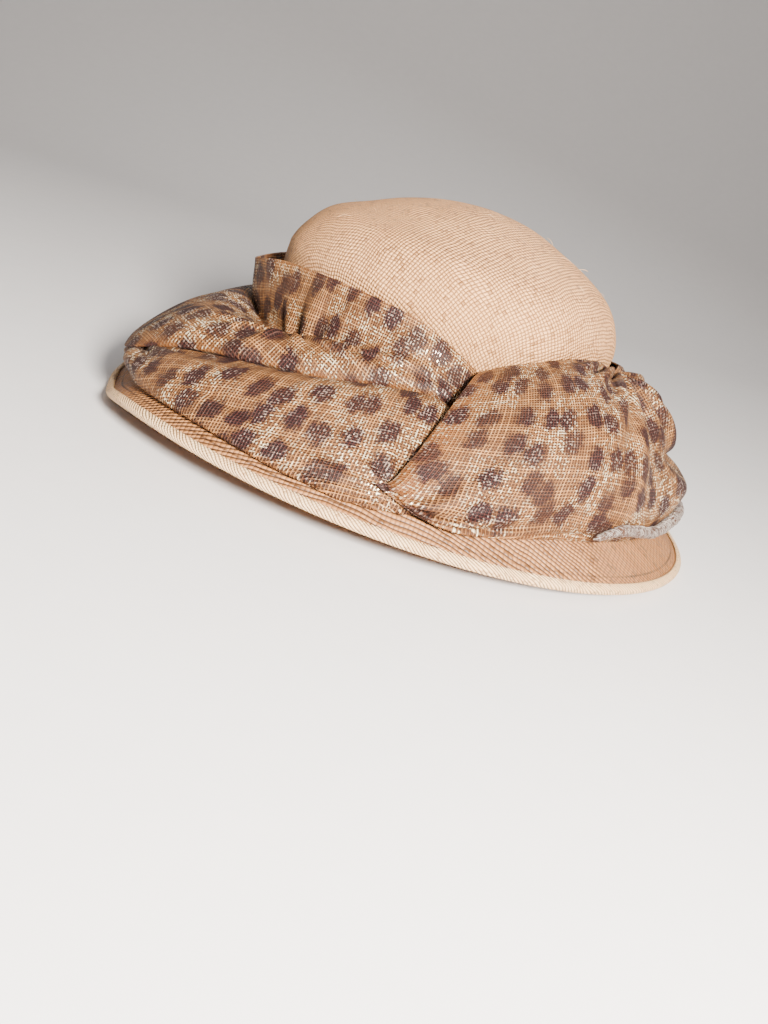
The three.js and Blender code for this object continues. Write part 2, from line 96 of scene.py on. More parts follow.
def dome_point(turn, angle):
    """Reach and height of the crown's outer face, by turn in radians and angle above its widest line."""
    front = (1 + np.cos(turn)) / 2
    toward_front = front * front * (3 - 2 * front)
    back_reach = through(DOME_BACK, angle / 90)
    front_reach = through(DOME_FRONT, angle / 90)
    radius = back_reach * (1 - toward_front) + front_reach * toward_front
    reach = radius * np.cos(np.radians(angle))
    height = radius * np.sin(np.radians(angle)) * (CROWN_HEIGHT - WIDEST_HEIGHT)
    return reach, WIDEST_HEIGHT + height - CROWN_TILT * reach * np.cos(turn)


def crown_reach(turn, z):
    """How much of its widest section the crown reaches at a turn and a height."""
    turn, z = np.broadcast_arrays(np.asarray(turn, float), np.asarray(z, float))
    angles = np.linspace(0, 90, DOME_SAMPLES)
    reach, height = dome_point(turn[..., None], angles)
    found = np.clip((height < z[..., None]).sum(-1), 1, DOME_SAMPLES - 1)[..., None]
    z1 = np.take_along_axis(height, found, -1)[..., 0]
    z0 = np.take_along_axis(height, found - 1, -1)[..., 0]
    r1 = np.take_along_axis(reach, found, -1)[..., 0]
    r0 = np.take_along_axis(reach, found - 1, -1)[..., 0]
    above = r0 + (r1 - r0) * np.clip((z - z0) / (z1 - z0), 0, 1)
    widest = height[..., 0]
    below = np.clip((widest - z) / widest, 0, 1)
    return np.where(z <= widest, 1 - (1 - FOOT_SHARE) * below * below, above)


def crown_side(turn, reach, push, z):
    """Points of the crown's outer face by turn and reach, pushed out by some millimetres."""
    x = (CROWN_WIDTH / 2 * reach + push) * np.sin(turn)
    y = -(CROWN_LENGTH / 2 * reach + push) * np.cos(turn)
    return np.stack(np.broadcast_arrays(x, y, z), -1)


def droop_at(turn):
    """The brim's droop in radians at a turn: it hangs lowest at the front."""
    from_front = np.degrees(np.arccos(np.clip(np.cos(turn), -1, 1)))
    dip = 1 / (1 + (from_front / DIP_TURN) ** DIP_SHARPNESS)
    return np.radians(BRIM_DROOP + (FRONT_DROOP - BRIM_DROOP) * dip)


def brim_point(turn, share):
    """Points of the brim's middle surface, from the crown's foot (share 0) to the rim (share 1)."""
    droop = droop_at(turn)
    fall = BRIM_WIDTH * np.sin(droop) * np.maximum(share, 0) ** BRIM_CURL
    return crown_side(turn, FOOT_SHARE, BRIM_WIDTH * np.cos(droop) * share, -fall)


def brim_slope(turn, share):
    """How steeply the brim falls at a share of its width, in radians."""
    return np.arctan(np.tan(droop_at(turn)) * BRIM_CURL * np.maximum(share, 0) ** (BRIM_CURL - 1))


RIM_FRONT = brim_point(0.0, 1.0)
RIM_BACK = brim_point(math.pi, 1.0)
TIP_ANGLE = math.atan2(RIM_BACK[2] - RIM_FRONT[2], RIM_BACK[1] - RIM_FRONT[1])


def tip(points):
    """Tips hat points back, so that the rim's front and back are level."""
    x, y, z = np.moveaxis(np.asarray(points, float), -1, 0)
    c, s = math.cos(TIP_ANGLE), math.sin(TIP_ANGLE)
    return np.stack([x, y * c + z * s, z * c - y * s], -1)


RIM_MIDDLE = (tip(RIM_FRONT) + tip(RIM_BACK)) / 2
BINDING_REACH = STRAW_WALL / 2 + SEAM_GAP + BINDING_WALL


def settle(points):
    """Hat millimetres to frame metres: tipped back onto the floor and pressed flat where it rests."""
    placed = tip(points) - RIM_MIDDLE
    z = placed[..., 2] + BINDING_REACH - REST_SQUASH
    placed[..., 2] = np.where(z < PRESS_HEIGHT, 0, z)
    return placed / 1000


def grid_faces(rows, columns, closed, start=0, flip=False):
    """Quads over a grid of points, with the last row joined to the first where closed."""
    i = np.arange(rows if closed else rows - 1)[:, None]
    j = np.arange(columns - 1)[None, :]
    a, b = i * columns + j, ((i + 1) % rows) * columns + j
    quads = np.stack([a, b, b + 1, a + 1], -1).reshape(-1, 4) + start
    return (quads[:, ::-1] if flip else quads).tolist()


def new_piece(name, points, faces, uv, **attributes):
    """A smooth mesh object from hat points, with a UV map and float attributes in the points' order."""
    mesh = bpy.data.meshes.new(name)
    mesh.from_pydata(settle(points).reshape(-1, 3).tolist(), [], faces)
    mesh.update()
    corners = np.zeros(len(mesh.loops), np.int32)
    mesh.loops.foreach_get("vertex_index", corners)
    layer = mesh.uv_layers.new(name="cloth")
    layer.data.foreach_set("uv", (np.asarray(uv).reshape(-1, 2)[corners] / UV_UNIT).ravel())
    for key, values in attributes.items():
        layer = mesh.attributes.new(key, "FLOAT", "POINT")
        layer.data.foreach_set("value", np.asarray(values, np.float32).ravel())
    mesh.polygons.foreach_set("use_smooth", [True] * len(mesh.polygons))
    piece = bpy.data.objects.new(name, mesh)
    bpy.context.scene.collection.objects.link(piece)
    return piece


def face_outward(piece):
    """Turns every face outward on a closed piece."""
    work = bmesh.new()
    work.from_mesh(piece.data)
    bmesh.ops.recalc_face_normals(work, faces=work.faces)
    if work.calc_volume(signed=True) < 0:
        bmesh.ops.reverse_faces(work, faces=work.faces)
    work.to_mesh(piece.data)
    work.free()
    piece.data.update()


class Nodes:
    """A short hand for building a material's node tree."""

    def __init__(self, name):
        self.material = bpy.data.materials.new(name)
        self.material.use_nodes = True
        self.tree = self.material.node_tree
        self.tree.nodes.clear()

    def add(self, kind, inputs=(), **settings):
        """A node with its settings, and each input linked to a socket or set to a value."""
        node = self.tree.nodes.new(kind)
        for key, value in settings.items():
            setattr(node, key, value)
        for key, value in dict(inputs).items():
            if isinstance(value, bpy.types.NodeSocket):
                self.tree.links.new(value, node.inputs[key])
            else:
                node.inputs[key].default_value = value
        return node

    def math(self, operation, a, b=0.0):
        """One step of arithmetic."""
        return self.add("ShaderNodeMath", {0: a, 1: b}, operation=operation).outputs[0]

    def plus(self, a, b):
        return self.math("ADD", a, b)

    def minus(self, a, b):
        return self.math("SUBTRACT", a, b)

    def times(self, a, b):
        return self.math("MULTIPLY", a, b)

    def blend(self, share, a, b):
        """Colour a where the share is 0 and colour b where it is 1."""
        return self.add("ShaderNodeMix", {0: share, 6: a, 7: b}, data_type="RGBA").outputs[2]

    def spread(self, value, low, high, to_low=0.0, to_high=1.0):
        """Value from low to high, taken smoothly to another range."""
        node = self.add("ShaderNodeMapRange", {0: value, 1: low, 2: high, 3: to_low, 4: to_high})
        node.interpolation_type = "SMOOTHSTEP"
        return node.outputs[0]

    def noise(self, vector, scale, detail, rough=0.5, dims="3D"):
        """Soft noise from 0 to 1."""
        inputs = {"Vector": vector, "Scale": scale, "Detail": detail, "Roughness": rough}
        return self.add("ShaderNodeTexNoise", inputs, noise_dimensions=dims).outputs[0]

    def chance(self, value):
        """A random number from 0 to 1 for each value."""
        return self.add("ShaderNodeTexWhiteNoise", {"W": value}, noise_dimensions="1D").outputs[0]

    def finish(self, colour, rough, height, relief, gloss, sheen=0.0, **more):
        """The finished material, with a height that stands out by its relief in metres."""
        bump = self.add("ShaderNodeBump", {"Height": height, "Distance": relief, "Strength": 1.0})
        look = {"Base Color": colour, "Roughness": rough, "Normal": bump.outputs[0],
                "Sheen Weight": sheen, "Specular IOR Level": gloss, **more}
        shader = self.add("ShaderNodeBsdfPrincipled", look)
        self.add("ShaderNodeOutputMaterial", {"Surface": shader.outputs[0]})
        return self.material


def straw_weave(nodes, across, along, twill, cross):
    """Height and straw numbers of a woven straw cloth, from two thread coordinates counted in straws."""
    def rounded(count):
        """Height across one straw: full at its middle and none at its edges."""
        off_middle = nodes.math("ABSOLUTE", nodes.minus(nodes.math("FRACT", count), 0.5))
        fall = nodes.math("POWER", nodes.times(off_middle, 2.0), 1.9)
        return nodes.minus(1.0, fall)

    def dipped(height, other):
        """A straw's height, lowered towards the edges of the straw that crosses it."""
        share = nodes.plus(1 - cross, nodes.times(other, cross))
        return nodes.times(height, share)

    cell_a, cell_b = nodes.math("FLOOR", across), nodes.math("FLOOR", along)
    step = nodes.plus(cell_a, cell_b)
    over = nodes.math("LESS_THAN", nodes.math("FLOORED_MODULO", step, twill), twill / 2)
    round_a, round_b = rounded(across), rounded(along)
    heights = {0: over, 2: dipped(round_a, round_b), 3: dipped(round_b, round_a)}
    return nodes.add("ShaderNodeMix", heights).outputs[0], over, cell_a, cell_b


def straw_material(name, pitch, angle, colours, twill, relief, depth, cross, line=None):
    """Woven straw: each straw has its own tone, the gaps hold painted shade and the high threads catch the
    light.

    Pitch is a straw's width, angle turns the weave, depth is how dark the painted shade in the gaps is,
    cross is how much a straw dips under the next, and line is the flat radius of a painted shadow line
    round the cloth, where the binding's inner edge shades the brim.
    """
    light, tan, shade = colours
    n = Nodes(name)
    uv = n.add("ShaderNodeUVMap", uv_map="cloth").outputs[0]
    laid = {0: uv, "Rotation": (0, 0, math.radians(angle)), "Scale": (UV_UNIT / pitch,) * 3}
    turned = n.add("ShaderNodeMapping", laid).outputs[0]
    wander = n.noise(turned, 0.07, 2.0)
    parts = n.add("ShaderNodeSeparateXYZ", {0: turned})
    bend = n.times(n.minus(wander, 0.5), STRAW_SWAY)
    across = n.plus(parts.outputs[0], bend)
    along = n.minus(parts.outputs[1], bend)
    height, over, cell_a, cell_b = straw_weave(n, across, along, twill, cross)
    straw = n.add("ShaderNodeMix", {0: over, 2: cell_a, 3: n.plus(cell_b, 517.0)}).outputs[0]
    tone = n.chance(straw)
    spot = n.add("ShaderNodeCombineXYZ", {0: cell_a, 1: cell_b})
    fleck = n.add("ShaderNodeTexWhiteNoise", {"Vector": spot.outputs[0]}, noise_dimensions="2D").outputs[0]
    place = n.add("ShaderNodeTexCoord").outputs["Object"]
    cloud = n.noise(place, 22.0, 3.0)
    paleness = n.plus(n.times(tone, 0.45), n.times(cloud, 0.6))
    base = n.blend(paleness, tan, light)
    base = n.blend(n.spread(fleck, 0.80, 1.0, 0.0, 0.45), base, light)
    base = n.blend(n.spread(fleck, 0.16, 0.0, 0.0, 0.50), base, shade)
    # Painted shade in the recesses between straws, as dark as the depth says.
    gap = n.spread(height, 0.0, 0.85, 1.0, 0.0)
    colour = n.blend(n.times(gap, depth), base, shade)
    # Rare pinholes in the weave, painted dark for the shade seen through them.
    hole = n.times(n.spread(fleck, 0.985, 0.99), n.spread(height, 0.12, 0.02))
    colour = n.blend(hole, colour, HOLE_COLOUR)
    # Painted shadow: a patchy dark line at the given radius, where the binding's inner edge shades the
    # cloth.
    if line:
        radius = n.add("ShaderNodeVectorMath", {0: uv}, operation="LENGTH").outputs["Value"]
        away = n.math("ABSOLUTE", n.minus(n.times(radius, UV_UNIT), line))
        shadow_patchiness = n.spread(n.noise(place, 30.0, 2.0), 0.38, 0.60, 0.45, 1.0)
        painted_shadow_line = n.times(n.spread(away, 0.85, 0.25, 0.0, 0.85), shadow_patchiness)
        colour = n.blend(painted_shadow_line, colour, SHADOW_LINE_COLOUR)
    rough = n.spread(fleck, 0.0, 1.0, 0.48, 0.62)
    return n.finish(colour, rough, height, relief, gloss=0.42)


def crown_walls(around, up):
    """The crown's outer and inner points: rows round the hat, columns from the foot to the dome's top."""
    turn = np.linspace(0, 2 * np.pi, around, endpoint=False)[:, None]
    widest = dome_point(turn, 0.0)[1]
    foot = STRAW_WALL / 2 + SEAM_GAP
    wall_z = foot + (widest - foot) * np.linspace(0, 1, 16)[None, :-1]
    wall_reach = crown_reach(turn + 0 * wall_z, wall_z)
    angle = np.linspace(0, DOME_TOP_ANGLE, up)[None, :]
    dome_reach, dome_z = dome_point(turn, angle)
    reach = np.concatenate([wall_reach, dome_reach], 1)
    z = np.concatenate([wall_z, dome_z], 1)
    outer = crown_side(turn, reach, 0.0, z)
    rise = np.gradient(z, axis=1)
    inward = -np.gradient(reach, axis=1) * CROWN_WIDTH / 2
    steep = rise / np.hypot(rise, inward)
    inner = crown_side(turn, reach, -STRAW_WALL * steep, z - STRAW_WALL * np.sqrt(1 - steep**2))
    inner[:, 0, 2] = outer[:, 0, 2]
    return turn, outer, inner


turn, outer, inner = crown_walls(around=240, up=44)
rows, columns = outer.shape[:2]
steps_up = np.linalg.norm(np.diff(outer, axis=1), axis=2)
run = np.concatenate([np.zeros((rows, 1)), np.cumsum(steps_up, 1)], 1)
from_top = run[:, -1:] - run
crown_uv = np.stack([from_top * np.sin(turn), -from_top * np.cos(turn)], -1)
swell = SWELL_DEPTH * np.sin(3 * turn + run / 31) * np.sin(run / 17 + 1.3 * np.cos(turn))
swell = swell * (run > 25) * np.clip(from_top / 40, 0, 1)
outer = outer + swell[..., None] * (outer - inner) / STRAW_WALL
top = np.array([outer[:, -1].mean(0), inner[:, -1].mean(0)])
points = np.concatenate([outer.reshape(-1, 3), inner.reshape(-1, 3), top])
size = rows * columns
faces = grid_faces(rows, columns, True) + grid_faces(rows, columns, True, size, True)
for i in range(rows):
    k = (i + 1) % rows
    faces.append([i * columns + columns - 1, k * columns + columns - 1, 2 * size])
    faces.append([size + k * columns + columns - 1, size + i * columns + columns - 1, 2 * size + 1])
    faces.append([k * columns, i * columns, size + i * columns, size + k * columns])
uv = np.concatenate([crown_uv.reshape(-1, 2), crown_uv.reshape(-1, 2), np.zeros((2, 2))])
crown = new_piece("straw_crown", points, faces, uv)
face_outward(crown)
crown_straw = straw_material("crown straw", pitch=2.0, angle=38, colours=CROWN_COLOURS, twill=2,
                             relief=0.0009, depth=0.80, cross=0.6)
crown.data.materials.append(crown_straw)
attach(crown, "root")
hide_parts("crown")

# --------------------------------------------------------------------------------- stray straws
# A few broken straw ends stand up from the weave of the crown's top. They are short bent straws,
# scattered over the crown as it stands in the frame, so these sizes are in metres.
STRAY_LENGTH = 0.007
STRAY_THICKNESS = 0.0001
STRAY_DENSITY = 650.0
STRAY_LOWEST = 0.126
SCATTER_SEED = 7
SPIN_SEED = 3
SIZE_SEED = 5


def stray_tree(material):
    """Scatters short bent straws over a surface, above a height, and makes them one mesh."""
    tree = bpy.data.node_groups.new("stray straws", "GeometryNodeTree")
    ask = tree.interface.new_socket
    ask("Surface", in_out="INPUT", socket_type="NodeSocketGeometry")
    ids = {name: ask(name, in_out="INPUT", socket_type="NodeSocketFloat").identifier
           for name in ("Density", "Length", "Thickness", "Lowest")}
    ask("Straws", in_out="OUTPUT", socket_type="NodeSocketGeometry")
    made, link = tree.nodes.new, tree.links.new
    given, out = made("NodeGroupInput"), made("NodeGroupOutput")
    place = made("FunctionNodeCompare")
    height = made("GeometryNodeInputPosition")
    parts = made("ShaderNodeSeparateXYZ")
    scatter = made("GeometryNodeDistributePointsOnFaces")
    scatter.inputs["Seed"].default_value = SCATTER_SEED
    link(height.outputs[0], parts.inputs[0])
    link(parts.outputs[2], place.inputs["A"])
    link(given.outputs["Lowest"], place.inputs["B"])
    link(given.outputs["Surface"], scatter.inputs["Mesh"])
    link(place.outputs[0], scatter.inputs["Selection"])
    link(given.outputs["Density"], scatter.inputs["Density"])
    bent = made("GeometryNodeCurveQuadraticBezier")
    ring = made("GeometryNodeCurvePrimitiveCircle")
    tube = made("GeometryNodeCurveToMesh")
    bent.inputs["Resolution"].default_value = 7
    bent.inputs["Start"].default_value = (0, 0, -0.03)
    bent.inputs["Middle"].default_value = (0.5, 0.05, 0.34)
    bent.inputs["End"].default_value = (1.0, 0.22, 0.26)
    grown, stretch = made("GeometryNodeTransform"), made("ShaderNodeCombineXYZ")
    for i in range(3):
        link(given.outputs["Length"], stretch.inputs[i])
    ring.inputs["Resolution"].default_value = 5
    link(given.outputs["Thickness"], ring.inputs["Radius"])
    tube.inputs["Fill Caps"].default_value = True
    link(bent.outputs[0], grown.inputs[0])
    link(stretch.outputs[0], grown.inputs["Scale"])
    link(grown.outputs[0], tube.inputs["Curve"])
    link(ring.outputs[0], tube.inputs["Profile Curve"])
    stand = made("GeometryNodeInstanceOnPoints")
    spin = made("FunctionNodeRandomValue")
    size = made("FunctionNodeRandomValue")
    spin.inputs["Max"].default_value = 6.28
    spin.inputs["Seed"].default_value = SPIN_SEED
    size.inputs["Min"].default_value = 0.45
    size.inputs["Max"].default_value = 1.2
    size.inputs["Seed"].default_value = SIZE_SEED
    twist, axis = made("FunctionNodeRotateRotation"), made("ShaderNodeCombineXYZ")
    turned = made("FunctionNodeEulerToRotation")
    twist.rotation_space = "LOCAL"
    link(spin.outputs[1], axis.inputs[2])
    link(axis.outputs[0], turned.inputs[0])
    link(scatter.outputs["Rotation"], twist.inputs[0])
    link(turned.outputs[0], twist.inputs[1])
    link(scatter.outputs["Points"], stand.inputs["Points"])
    link(tube.outputs[0], stand.inputs["Instance"])
    link(twist.outputs[0], stand.inputs["Rotation"])
    link(size.outputs[1], stand.inputs["Scale"])
    real, dress = made("GeometryNodeRealizeInstances"), made("GeometryNodeSetMaterial")
    dress.inputs["Material"].default_value = material
    link(stand.outputs[0], real.inputs[0])
    link(real.outputs[0], dress.inputs[0])
    link(dress.outputs[0], out.inputs[0])
    return tree, ids


n = Nodes("stray straw")
tone = n.noise(n.add("ShaderNodeTexCoord").outputs["Object"], 300.0, 2.0)
pale = n.blend(tone, (0.66, 0.36, 0.16, 1), (0.95, 0.66, 0.38, 1))
stray_straw = n.finish(pale, rough=0.45, height=tone, relief=0.00005, gloss=0.4)
tree, ids = stray_tree(stray_straw)
host = bpy.data.objects.new("stray_host", crown.data.copy())
bpy.context.scene.collection.objects.link(host)
grower = host.modifiers.new("strays", "NODES")
grower.node_group = tree
grower[ids["Density"]] = STRAY_DENSITY
grower[ids["Length"]] = STRAY_LENGTH
grower[ids["Thickness"]] = STRAY_THICKNESS
grower[ids["Lowest"]] = STRAY_LOWEST
bpy.context.view_layer.update()
grown_mesh = bpy.data.meshes.new_from_object(host.evaluated_get(bpy.context.evaluated_depsgraph_get()))
bpy.data.objects.remove(host)
strays = bpy.data.objects.new("stray_straws", grown_mesh)
bpy.context.scene.collection.objects.link(strays)
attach(strays, "root")

# ----------------------------------------------------------------------------------------- brim
# The brim is a separate, finer straw cloth, cut on the bias and steamed to droop, with a deeper dip
# at the front. Its collar turns up inside the crown's foot.
COLLAR_HEIGHT = 13.0
COLLAR_ROWS = 7
SLOPE_ROWS = 34
WAVE_DEPTH = 0.5
FLAT_FOOT_RADIUS = 92
FLAT_COLLAR_INSET = 4.0
# The painted shadow of the binding's inner edge lies this far inside the rim.
SHADOW_LINE_INSET = 7.6
BRIM_COLOURS = [(0.56, 0.250, 0.090, 1), (0.32, 0.130, 0.041, 1), (0.04, 0.013, 0.004, 1)]


def wall_piece(name, grid, thickness, closed, uv, **attributes):
    """A closed wall of even thickness about a grid of middle points."""
    along = np.roll(grid, -1, 0) - np.roll(grid, 1, 0) if closed else np.gradient(grid, axis=0)
    across = np.gradient(grid, axis=1)
    normal = np.cross(along, across)
    normal /= np.linalg.norm(normal, axis=2, keepdims=True) + 1e-9
    half = normal * thickness / 2
    points = np.concatenate([(grid + half).reshape(-1, 3), (grid - half).reshape(-1, 3)])
    rows, columns = grid.shape[:2]
    size = rows * columns
    faces = grid_faces(rows, columns, closed) + grid_faces(rows, columns, closed, size, True)
    for i in range(rows if closed else rows - 1):
        a, b = i * columns, ((i + 1) % rows) * columns
        faces.append([b, a, size + a, size + b])
        faces.append([a + columns - 1, b + columns - 1, size + b + columns - 1, size + a + columns - 1])
    if not closed:
        last = (rows - 1) * columns
        for j in range(columns - 1):
            faces.append([j, j + 1, size + j + 1, size + j])
            faces.append([last + j + 1, last + j, size + last + j, size + last + j + 1])
    both = {key: np.concatenate([np.ravel(v), np.ravel(v)]) for key, v in attributes.items()}
    piece = new_piece(name, points, faces, np.concatenate([uv.reshape(-1, 2)] * 2), **both)
    face_outward(piece)
    return piece


turn = np.linspace(0, 2 * np.pi, 300, endpoint=False)[:, None]
share = np.linspace(0, 1, SLOPE_ROWS)
collar_z = COLLAR_HEIGHT * np.linspace(1, 0, COLLAR_ROWS)[None, :] + 0 * turn
collar = crown_side(turn, crown_reach(turn, collar_z), -(STRAW_WALL * 1.5 + SEAM_GAP), collar_z)
slope = brim_point(turn, share[None, :])
grid = np.concatenate([collar, slope], 1)
grown = np.clip(np.linspace(-0.2, 1, SLOPE_ROWS), 0, 1)
wave = grown * WAVE_DEPTH * np.sin(7 * turn + 1.2) * np.sin(3 * turn)
grid[:, COLLAR_ROWS:, 2] += wave * np.clip(1 - share**8, 0, 1)
flat = np.concatenate([np.full(COLLAR_ROWS, -FLAT_COLLAR_INSET), np.linspace(0, BRIM_WIDTH, SLOPE_ROWS)])
plan = flat[None, :] + FLAT_FOOT_RADIUS
brim_uv = np.stack([plan * np.sin(turn), -plan * np.cos(turn)], -1)
brim = wall_piece("straw_brim", grid, STRAW_WALL, True, brim_uv)
brim_straw = straw_material("brim straw", pitch=2.6, angle=-78, colours=BRIM_COLOURS, twill=1,
                            relief=0.0008, depth=0.95, cross=0.5,
                            line=FLAT_FOOT_RADIUS + BRIM_WIDTH - SHADOW_LINE_INSET)
brim.data.materials.append(brim_straw)
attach(brim, "root")
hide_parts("brim")

# ---------------------------------------------------------------------------------- rim binding
# The rim is bound with a folded strip of straw cloth cut on the bias, coloured paler than the brim as
# painted light where it faces the lamp. It is rounded over the edge and pressed flat where the hat rests on
# it.
BINDING_WIDTH = 5.0
BINDING_COLOURS = [(1.0, 0.70, 0.38, 1), (0.92, 0.54, 0.25, 1), (0.26, 0.11, 0.036, 1)]


def tube_faces(steps, sides, closed):
    """Quads round a tube of rings, with the last ring joined to the first where closed."""
    faces = []
    for i in range(steps if closed else steps - 1):
        a, b = i * sides, ((i + 1) % steps) * sides
        faces += [[a + j, a + (j + 1) % sides, b + (j + 1) % sides, b + j] for j in range(sides)]
    return faces


def binding_rings(turn):
    """The strip's closed outline at each turn, set square to the rim."""
    half = STRAW_WALL / 2 + SEAM_GAP
    leg = SEAM_GAP + BINDING_WALL - BINDING_WIDTH
    round_out = [(leg, half), (leg + 0.1, BINDING_REACH - 0.6), (leg * 0.86, BINDING_REACH - 0.05)]
    round_out += [(leg * 0.6, BINDING_REACH + 0.2), (leg * 0.3, BINDING_REACH + 0.2), (-0.1, BINDING_REACH)]
    arc = [math.radians(a) for a in (70, 50, 30, 10, -10, -30, -50, -70)]
    round_out += [(BINDING_WALL * math.cos(a) + SEAM_GAP, half * math.sin(a) + BINDING_WALL * math.sin(a))
                  for a in arc]
    round_out += [(0.0, -BINDING_REACH), (-BINDING_WALL, -BINDING_REACH), (leg * 0.6, -BINDING_REACH)]
    round_out += [(leg + 0.4, -BINDING_REACH), (leg, -BINDING_REACH + 0.4), (leg, -half)]
    round_out += [(SEAM_GAP, -half), (SEAM_GAP, half)]
    rim, foot = brim_point(turn, 1.0), brim_point(turn, 0.0)
    slope = brim_slope(turn, 1.0)[:, None]
    outward = rim[:, :2] - foot[:, :2]
    outward /= np.linalg.norm(outward, axis=1, keepdims=True)
    out, up = np.array(round_out).T
    along = out * np.cos(slope) + up * np.sin(slope)
    z = rim[:, 2:3] - out * np.sin(slope) + up * np.cos(slope)
    return np.concatenate([rim[:, None, :2] + along[..., None] * outward[:, None, :], z[..., None]], 2)


turn = np.linspace(0, 2 * np.pi, 480, endpoint=False)
rings = binding_rings(turn)
sides = rings.shape[1]
girth = np.concatenate([[0], np.cumsum(np.linalg.norm(np.diff(rings[0], axis=0), axis=1))])
around = np.concatenate([[0], np.cumsum(np.linalg.norm(np.diff(rings[:, 8], axis=0), axis=1))])
binding_uv = np.stack(np.broadcast_arrays(around[:, None], girth[None, :]), -1)
faces = tube_faces(len(turn), sides, closed=True)
binding = new_piece("rim_binding_strip", rings, faces, binding_uv)
face_outward(binding)
binding_straw = straw_material("binding straw", pitch=1.5, angle=-40, colours=BINDING_COLOURS, twill=1,
                               relief=0.0009, depth=0.7, cross=0.25)
binding.data.materials.append(binding_straw)
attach(binding, "root")
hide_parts("rim_binding")

# ---------------------------------------------------------------------------- scarf, upper wrap
# The scarf is one long piece of stiff, open, glittering mesh printed with dark irregular spots. Here
# it stands up against the crown, is tucked in, and rolls forward over the front of the brim.
CLOTH_WALL = 1.2
SEEN_WALL = CLOTH_WALL * 0.7
THREAD_PITCH = 1.55
SPOT_SPACING = 18.0
# How close the spots stand along and across the cloth, in percent of one spot a spacing.
SPOTS_ALONG = 124
SPOTS_ACROSS = 96
DRAPE_GAP = 0.3
EDGE_LIFT = 0.2
RIPPLE_WAVES = 9
# The ground shows between the threads: the cloth's own brown, darkened as painted shade for the dark seen
# through the open mesh.
GROUND_DARK = (0.026, 0.0085, 0.0025, 1)
GROUND_LIGHT = (0.068, 0.024, 0.007, 1)
SEAM_GOLD = (0.16, 0.050, 0.009, 1)
THREAD_DARK = (0.18, 0.066, 0.018, 1)
THREAD_LIGHT = (0.46, 0.205, 0.066, 1)
# The colour of painted glints on lit threads.
THREAD_GLINT = (1.0, 0.82, 0.52, 1)
INK_DARK = (0.007, 0.0014, 0.0010, 1)
INK_LIGHT = (0.060, 0.013, 0.009, 1)
# The colour of painted glints on lit threads over the spots.
INK_GLINT = (0.80, 0.58, 0.48, 1)
# Threads lie this far apart in the noise that places their painted glints, so that each one glitters by
# itself.
THREADS_APART = 5.17
GLINT_PACE = 0.95

# Each row is a section across the cloth: turn round from the front at its upper and lower edge, in
# degrees, then out from the crown as a share of the brim, then up from the brim as a share of the crown.
UPPER_WRAP = [
    (-152, -152, (0.03, 0.05, 0.07, 0.11, 0.16, 0.22, 0.26, 0.24),
     (0.330, 0.230, 0.140, 0.115, 0.095, 0.080, 0.060, 0.035)),
    (-130, -130, (0.05, 0.08, 0.09, 0.16, 0.26, 0.36, 0.42, 0.38),
     (0.410, 0.270, 0.130, 0.180, 0.195, 0.170, 0.115, 0.060)),
    (-90, -90, (0.05, 0.08, 0.09, 0.17, 0.28, 0.40, 0.46, 0.42),
     (0.380, 0.240, 0.100, 0.160, 0.190, 0.175, 0.120, 0.060)),
    (-50, -50, (0.08, 0.09, 0.08, 0.16, 0.28, 0.44, 0.52, 0.47),
     (0.350, 0.200, 0.050, 0.120, 0.165, 0.160, 0.120, 0.070)),
    (-24, -24, (0.14, 0.11, 0.07, 0.16, 0.31, 0.54, 0.68, 0.62),
     (0.340, 0.170, 0.030, 0.100, 0.160, 0.175, 0.145, 0.110)),
    (-8, -8, (0.18, 0.14, 0.09, 0.19, 0.38, 0.68, 0.88, 0.80),
     (0.350, 0.165, 0.025, 0.130, 0.205, 0.225, 0.200, 0.170)),
    (6, 6, (0.20, 0.15, 0.09, 0.20, 0.42, 0.76, 0.96, 0.88),
     (0.375, 0.185, 0.025, 0.120, 0.255, 0.300, 0.240, 0.210)),
    (18, 18, (0.16, 0.12, 0.08, 0.20, 0.43, 0.76, 0.96, 0.88),
     (0.405, 0.200, 0.012, 0.065, 0.252, 0.315, 0.245, 0.215)),
    (28, 28, (0.09, 0.09, 0.08, 0.20, 0.40, 0.66, 0.79, 0.73),
     (0.403, 0.210, 0.022, 0.062, 0.195, 0.280, 0.200, 0.155)),
    (38, 38, (0.06, 0.08, 0.09, 0.19, 0.35, 0.54, 0.64, 0.58),
     (0.410, 0.230, 0.055, 0.092, 0.180, 0.230, 0.172, 0.115)),
    (49, 49, (0.06, 0.08, 0.10, 0.17, 0.29, 0.43, 0.51, 0.45),
     (0.425, 0.270, 0.105, 0.135, 0.195, 0.210, 0.155, 0.095)),
    (62, 62, (0.06, 0.09, 0.12, 0.17, 0.24, 0.32, 0.375, 0.33),
     (0.430, 0.310, 0.175, 0.198, 0.215, 0.197, 0.145, 0.085)),
    (75, 75, (0.06, 0.09, 0.13, 0.17, 0.21, 0.245, 0.265, 0.24),
     (0.412, 0.350, 0.290, 0.260, 0.235, 0.210, 0.168, 0.100)),
    (88, 88, (0.05, 0.08, 0.11, 0.14, 0.17, 0.20, 0.215, 0.19),
     (0.328, 0.300, 0.275, 0.250, 0.228, 0.205, 0.172, 0.100)),
    (98, 98, (0.03, 0.05, 0.075, 0.10, 0.125, 0.145, 0.155, 0.14),
     (0.235, 0.215, 0.195, 0.175, 0.155, 0.135, 0.110, 0.070)),
]


def drape_point(turn, over, rise):
    """Points of the scarf: out from the crown by a share of the brim's width, and up from the brim."""
    lift = (STRAW_WALL / 2 + DRAPE_GAP) / np.cos(brim_slope(turn, over))
    brim_at = brim_point(turn, over)
    z = brim_at[..., 2] + lift + np.maximum(rise * CROWN_HEIGHT, EDGE_LIFT)
    foot = crown_side(turn, FOOT_SHARE, 0.0, 0.0)
    wall = crown_side(turn, crown_reach(turn, z), DRAPE_GAP + CLOTH_WALL / 2, z)
    x = wall[..., 0] + brim_at[..., 0] - foot[..., 0]
    y = wall[..., 1] + brim_at[..., 1] - foot[..., 1]
    return np.stack([x, y, z], -1)


